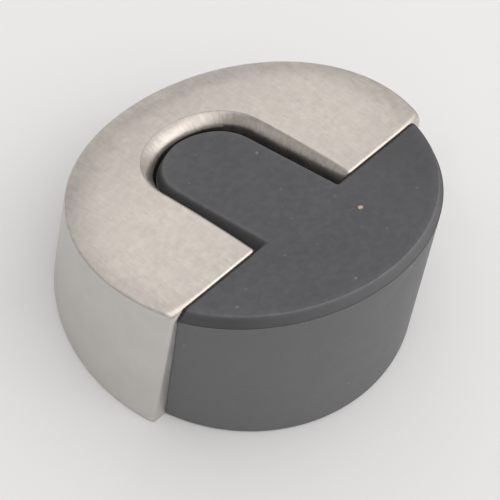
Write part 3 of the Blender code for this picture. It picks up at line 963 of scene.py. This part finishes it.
def makeMouldedRubber():
    s = mouldedRubber
    material, tree, shader = newMaterial("mouldedRubber", s["light"][:3], s["roughness"], 0)
    shader.inputs["IOR"].default_value = s["ior"]
    spot = addNode(tree, "ShaderNodeTexCoord").outputs["Object"]
    band = readValue(tree, "bandMask")
    cloud = addEffect(tree, "cloud", spot, Scale=s["cloudScale"])["Mask"]
    mottle = addEffect(tree, "cloud", spot, Scale=s["mottleScale"])["Mask"]
    streak = addEffect(tree, "brush", spot, **s["streaks"])["Streaks"]
    grain = addEffect(tree, "grain", spot, Scale=s["grainScale"])["Height"]
    dust = addEffect(tree, "specks", spot, **s["dustSpecks"])["Mask"]
    fluff = addEffect(tree, "specks", spot, **s["fluffSpecks"])["Mask"]
    wall = readValue(tree, "wallMask")
    scuff = addEffect(tree, "scuffs", spot, **s["scuffs"])["Mask"]
    scuff = calc(tree, "MULTIPLY", scuff, wall)

    tone = calc(tree, "MULTIPLY_ADD", mottle, 0.60, calc(tree, "MULTIPLY", cloud, 0.40))
    tone = calc(tree, "MULTIPLY_ADD", streak, 0.20, tone)
    sideways = addNode(tree, "ShaderNodeSeparateXYZ", {0: spot}).outputs[0]
    farSideShade = remap(tree, sideways, *s["farSideShade"])
    colour = mixColours(tree, tone, s["dark"], s["light"])
    # painted shade: the bands and the top's +X side go darker
    darker = calc(tree, "MAXIMUM", band, calc(tree, "MULTIPLY", farSideShade, 0.5))
    colour = mixColours(tree, darker, colour, s["band"])
    # painted light: the wall and the front of the rim lighter
    colour = mixColours(tree, calc(tree, "MULTIPLY", wall, 0.75), colour, s["wall"])
    # painted highlight: a pale line along the band's crest, broken up by the mottle
    paleEdge = calc(tree, "MULTIPLY_ADD", mottle, 0.30, 0.50)
    crest = calc(tree, "MULTIPLY", readValue(tree, "crestHighlightMask"), paleEdge)
    colour = mixColours(tree, crest, colour, s["crest"])
    pale = calc(tree, "MULTIPLY", dust, 0.55)
    pale = calc(tree, "MAXIMUM", pale, calc(tree, "MULTIPLY", fluff, 0.22))
    pale = calc(tree, "MAXIMUM", pale, calc(tree, "MULTIPLY", scuff, 0.50))
    colour = mixColours(tree, pale, colour, s["dust"])
    far = vectorCalc(tree, "DISTANCE", spot, s["crumbPlace"])["Value"]
    uneven = calc(tree, "MULTIPLY_ADD", grain, s["crumbRagged"], far)
    crumb = remap(tree, uneven, *s["crumbRadius"])
    colour = mixColours(tree, crumb, colour, s["crumb"])
    tree.links.new(colour, shader.inputs["Base Color"])

    rough = calc(tree, "MULTIPLY_ADD", cloud, 0.07, s["roughness"])
    rough = calc(tree, "MULTIPLY_ADD", grain, 0.06, rough)
    farBand = calc(tree, "MULTIPLY", band, remap(tree, sideways, *s["farRim"]))
    rough = calc(tree, "MULTIPLY_ADD", farBand, 0.25, calc(tree, "MULTIPLY_ADD", band, -0.08, rough))
    tree.links.new(rough, shader.inputs["Roughness"])
    gloss = calc(tree, "MULTIPLY_ADD", farBand, -0.40, 0.50)
    tree.links.new(gloss, shader.inputs["Specular IOR Level"])
    bump(tree, shader, (cloud, s["swellDepth"]), (grain, s["grainDepth"]), (crumb, s["crumbHeight"]))
    return material


fixingMetals = {
    "plainSteel": {
        "dark": (0.40, 0.40, 0.395, 1),
        "light": (0.56, 0.555, 0.545, 1),
        "paleEdge": (0.70, 0.69, 0.68, 1),
        "roughness": 0.34,
    },
    "zincPlate": {
        "dark": (0.46, 0.475, 0.49, 1),
        "light": (0.66, 0.67, 0.68, 1),
        "paleEdge": (0.75, 0.75, 0.74, 1),
        "roughness": 0.27,
    },
    "turnedBrass": {
        "dark": (0.50, 0.35, 0.14, 1),
        "light": (0.70, 0.52, 0.24, 1),
        "paleEdge": (0.82, 0.66, 0.36, 1),
        "roughness": 0.25,
    },
    "blackOxide": {
        "dark": (0.030, 0.030, 0.034, 1),
        "light": (0.075, 0.075, 0.082, 1),
        "paleEdge": (0.30, 0.295, 0.29, 1),
        "roughness": 0.36,
    },
}
metalFinish = {
    "lines": {"Across": 3800.0, "Along": 500.0, "Slant": 0.2},
    "cloudScale": 400.0,
    "wearStarts": 0.53,
    "lineDepth": 0.0000016,
    "cloudDepth": 0.0000040,
}


def makeFixingMetal(name):
    s = {**metalFinish, **fixingMetals[name]}
    material, tree, shader = newMaterial(name, s["light"][:3], s["roughness"], 1)
    spot = addNode(tree, "ShaderNodeTexCoord").outputs["Object"]
    lines = addEffect(tree, "brush", spot, **s["lines"])["Lines"]
    cloud = addEffect(tree, "cloud", spot, Scale=s["cloudScale"])["Mask"]
    wear = addEffect(tree, "wear", spot, Starts=s["wearStarts"])["Mask"]
    tone = calc(tree, "MULTIPLY_ADD", lines, 0.45, calc(tree, "MULTIPLY", cloud, 0.55))
    colour = mixColours(tree, tone, s["dark"], s["light"])
    colour = mixColours(tree, wear, colour, s["paleEdge"])
    tree.links.new(colour, shader.inputs["Base Color"])
    rough = calc(tree, "MULTIPLY_ADD", lines, 0.10, s["roughness"])
    rough = calc(tree, "MULTIPLY_ADD", cloud, 0.08, rough)
    tree.links.new(rough, shader.inputs["Roughness"])
    bump(tree, shader, (lines, s["lineDepth"]), (cloud, s["cloudDepth"]))
    return material


steelMaterial = makeSatinSteel()
rubberMaterial = makeMouldedRubber()
metals = {name: makeFixingMetal(name) for name in fixingMetals}
print("materials made")

makeCastBody(steelMaterial)
makeRubberBuffer(rubberMaterial)


# Screws, inserts, washers and the floor plate

thread = {
    "pitch": 0.0007,
    "depth": 0.00035,
    "around": 48,
    "rowsPerTurn": 10,
    "fade": 0.0006,        # the thread runs in and out over this length
}


def threadRows(radius, low, high):
    rows = []
    steps = round((high - low) / thread["pitch"] * thread["rowsPerTurn"])
    for k in range(steps + 1):
        z = low + (high - low) * k / steps
        fade = min((z - low) / thread["fade"], (high - z) / thread["fade"], 1.0)
        row = []
        for i in range(thread["around"]):
            angle = 2 * math.pi * i / thread["around"]
            phase = (z / thread["pitch"] - i / thread["around"]) % 1
            crest = min(1.0, 1.25 * abs(2 * phase - 1))
            r = radius - thread["depth"] * (1 - fade * crest)
            row.append((r * math.cos(angle), r * math.sin(angle), z))
        rows.append(row)
    return rows


grubScrew = {
    "tip": 0.55,           # shares of the core's radius
    "tipShoulder": 0.62,
    "tipEdge": 0.00008,
    "threadStarts": 0.0007,
    "threadStops": 0.00025,
    "endEdge": 0.00006,
    "endBevels": (0.00012, 0.0002),
    "hexFlats": 0.0020,
    "hexLead": 0.00012,
    "hexDepth": 0.0015,
    "drillTip": 0.0003,
}


def hexRow(flats, z):
    row = []
    for i in range(thread["around"]):
        angle = 2 * math.pi * i / thread["around"]
        turn = (angle + math.pi / 6) % (math.pi / 3) - math.pi / 6
        r = flats / 2 / math.cos(turn)
        row.append((r * math.cos(angle), r * math.sin(angle), z))
    return row


def makeGrubScrew():
    s = grubScrew
    low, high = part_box("grub_screw")
    length = high.y - low.y
    radius = high.x
    around = thread["around"]
    core = radius - thread["depth"]
    nearEnd, atEnd = s["endBevels"]
    flats, floor = s["hexFlats"], length - s["hexDepth"]
    rows = [circleRow(core * s["tip"], 0.0, around)]
    rows += [circleRow(core * s["tipShoulder"], s["tipEdge"], around)]
    rows += threadRows(radius, s["threadStarts"], length - s["threadStops"])
    rows += [circleRow(core - nearEnd, length - s["endEdge"], around)]
    rows += [circleRow(core - atEnd, length, around), hexRow(flats + s["hexLead"], length)]
    rows += [hexRow(flats, length - s["endEdge"]), hexRow(flats, floor)]
    rows += [circleRow(flats * 0.1, floor - s["drillTip"], around)]
    screw = newPiece("grubScrew", skinRows("grubScrew", rows))
    axis = Matrix.Translation((0, low.y, (low.z + high.z) / 2))
    screw.data.transform(axis @ Matrix.Rotation(-math.pi / 2, 4, "X"))
    finishPiece(screw, "set_screw", metals["blackOxide"], ["grub_screw"])


bufferScrew = {
    "shank": 0.0020,
    "headTop": 0.0053,
    "headRound": ((0.0003, 0.0), (0.00008, 0.0001), (0.0, 0.0003)),  # (inwards, up) at the head's face
    "headEdge": 0.0001,
    "neck": 0.0002,
    "threadStarts": 0.0006,
    "tip": 0.0003,
    "slotHalf": 0.0006,
    "slotDepth": 0.0011,
}


def makeBufferScrew(label):
    s = bufferScrew
    low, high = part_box("buffer_screw_" + label)
    middle = (low + high) / 2
    radius = (high.x - low.x) / 2
    around = thread["around"]
    top, core = s["headTop"], s["shank"] - thread["depth"]
    rows = [circleRow(radius - inwards, low.z + up, around) for inwards, up in s["headRound"]]
    rows += [circleRow(radius, top - s["headEdge"], around), circleRow(radius - s["headEdge"], top, around)]
    rows += [circleRow(core + s["neck"], top, around), circleRow(core, top + s["neck"], around)]
    rows += threadRows(s["shank"], top + s["threadStarts"], high.z - s["tip"])
    rows += [circleRow(core - s["tip"], high.z, around)]
    screw = newPiece("bufferScrew" + label.title(), skinRows("bufferScrew", rows))
    half, reach = s["slotHalf"], radius * 1.2
    slot = block("slot", (-half, -reach, low.z - beyond), (half, reach, low.z + s["slotDepth"]))
    combine(screw, [("DIFFERENCE", slot, Matrix.Identity(4))])
    screw.data.transform(Matrix.Translation((middle.x, middle.y, 0)))
    finishPiece(screw, "stop", metals["zincPlate"], ["buffer_screw_" + label])


insert = {
    "bore": 0.0022,
    "edge": 0.0002,
    "lands": 3,
    "landStarts": 0.0009,
    "grooveStarts": 0.0006,
    "grooveDepth": 0.0004,
    "knurls": 24,
    "pointsPerKnurl": 6,
    "knurlDepth": 0.00012,
}


def makeInsert(label):
    # knurled lands between plain grooves
    s = insert
    low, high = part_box("buffer_insert_" + label)
    middle = (low + high) / 2
    radius = (high.x - low.x) / 2
    bore, edge = s["bore"], s["edge"]
    groove = radius - s["grooveDepth"]
    land = (high.z - low.z) / s["lands"]
    around = s["knurls"] * s["pointsPerKnurl"]
    profile = [(bore + edge, low.z, 0), (radius - edge, low.z, 0)]
    for k in range(s["lands"]):
        start = low.z + land * k
        profile += [(radius, start + s["landStarts"], 1), (radius, start + land - s["landStarts"], 1)]
        if k < s["lands"] - 1:
            end = start + land
            profile += [(groove, end - s["grooveStarts"], 0), (groove, end + s["grooveStarts"], 0)]
    profile += [(radius - edge, high.z, 0), (bore + edge, high.z, 0)]
    profile += [(bore, high.z - edge, 0), (bore, low.z + edge, 0)]
    rows = []
    for r, z, knurled in profile:
        row = []
        for i in range(around):
            angle = 2 * math.pi * i / around
            cut = knurled * s["knurlDepth"] * (1 - math.cos(s["knurls"] * angle)) / 2
            row.append(((r - cut) * math.cos(angle), (r - cut) * math.sin(angle), z))
        rows.append(row)
    piece = newPiece("insert" + label.title(), skinRows("insert", rows, ring=True))
    piece.data.transform(Matrix.Translation((middle.x, middle.y, 0)))
    finishPiece(piece, "stop", metals["turnedBrass"], ["buffer_insert_" + label])


def dressNode(name, material, edge):
    # a part whose shape is kept, with softened edges and a better finish
    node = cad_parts[name]
    node.data.materials.clear()
    node.data.materials.append(material)
    modifier = node.modifiers.new("softEdges", "BEVEL")
    modifier.width = edge
    modifier.segments = 3
    modifier.limit_method = "ANGLE"
    modifier.angle_limit = math.radians(35)
    modifier.harden_normals = True


makeGrubScrew()
for label in ("left", "right"):
    makeBufferScrew(label)
    makeInsert(label)
    dressNode("spring_washer_" + label, metals["zincPlate"], 0.00010)
dressNode("mounting_plate", metals["plainSteel"], 0.00025)
print("fixings made")
